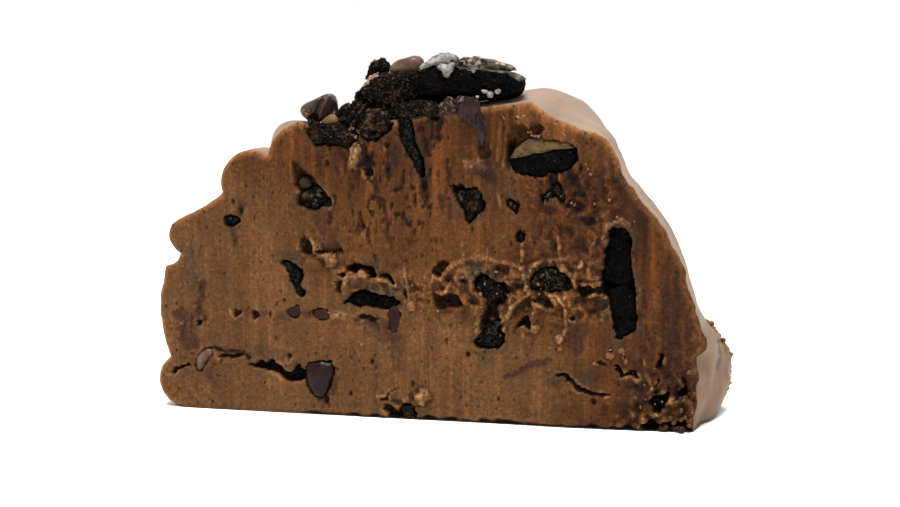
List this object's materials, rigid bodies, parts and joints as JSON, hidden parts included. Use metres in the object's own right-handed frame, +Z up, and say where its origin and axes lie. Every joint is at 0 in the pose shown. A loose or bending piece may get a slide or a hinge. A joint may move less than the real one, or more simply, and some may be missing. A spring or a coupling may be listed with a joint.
{
  "type": "slice of cookies-and-chips fudge",
  "caption": "Thick cut slice of milk chocolate fudge, lobed skin round the sides, dark cookie pieces and chocolate chips in the cut face and piled on top",
  "frame": {"origin": "centre of the overall box at the height of the flat base", "axes": "+X along the slice towards its steep toe, +Y from the front cut face to the back cut face, +Z up"},
  "size_m": [0.116, 0.0328, 0.0727],
  "materials": {
    "fudge": "soft waxy sheen, knife-cut faces with fine drag marks",
    "wafer": "dry, crumbly, nearly black cookie",
    "crumb": "dark cookie crumb smeared with fudge",
    "cream": "pale cookie cream, dusted with dark crumbs",
    "chip": "smooth dark chocolate with a dull bloom"
  },
  "bodies": {
    "root": {"fudge_slice": "fudge", "wafer_under_shoulder": "wafer", "cream_under_shoulder": "cream", "wafer_upright_top": "wafer", "wafer_upright_foot": "wafer", "wafer_left_of_centre": "wafer", "crumb_over_centre": "wafer", "crumb_under_centre": "wafer", "crumb_right_of_centre": "crumb", "crumb_high_left": "crumb", "crumb_high_centre": "crumb", "crumb_high_right": "crumb", "crumb_right_of_drip": "crumb", "crumb_over_web": "crumb", "crumb_far_left": "crumb", "crumb_left_hook": "wafer", "cookie_drip": "wafer", "cookie_seam_low_left": "wafer", "cookie_bit_at_base": "crumb", "chip_low_left": "chip", "chip_low_centre": "chip", "chip_in_seam_left": "chip", "chip_in_seam_right": "chip", "chip_upright": "chip", "chip_ball_high_left": "chip", "back_wafer_high": "wafer", "back_wafer_low": "wafer", "back_chip_centre": "chip", "back_crumb_left": "crumb", "back_chip_right": "chip", "back_crumb_right": "crumb", "crumb_bed_left": "wafer", "ridged_cookie_left": "wafer", "chip_on_left": "chip", "cream_bit_left": "cream", "crumb_under_slab": "crumb", "chip_shard_under_slab": "chip", "cookie_lump_centre": "wafer", "cookie_prop": "wafer", "cookie_slab_top": "wafer", "cream_on_slab": "cream", "chip_on_lump": "chip", "cookie_bit_behind": "wafer", "back_cookie_left": "wafer", "back_chip_left": "chip", "back_cookie_right": "wafer", "back_chip_right_top": "chip", "back_crumb_top": "crumb"}
  },
  "joints": []
}
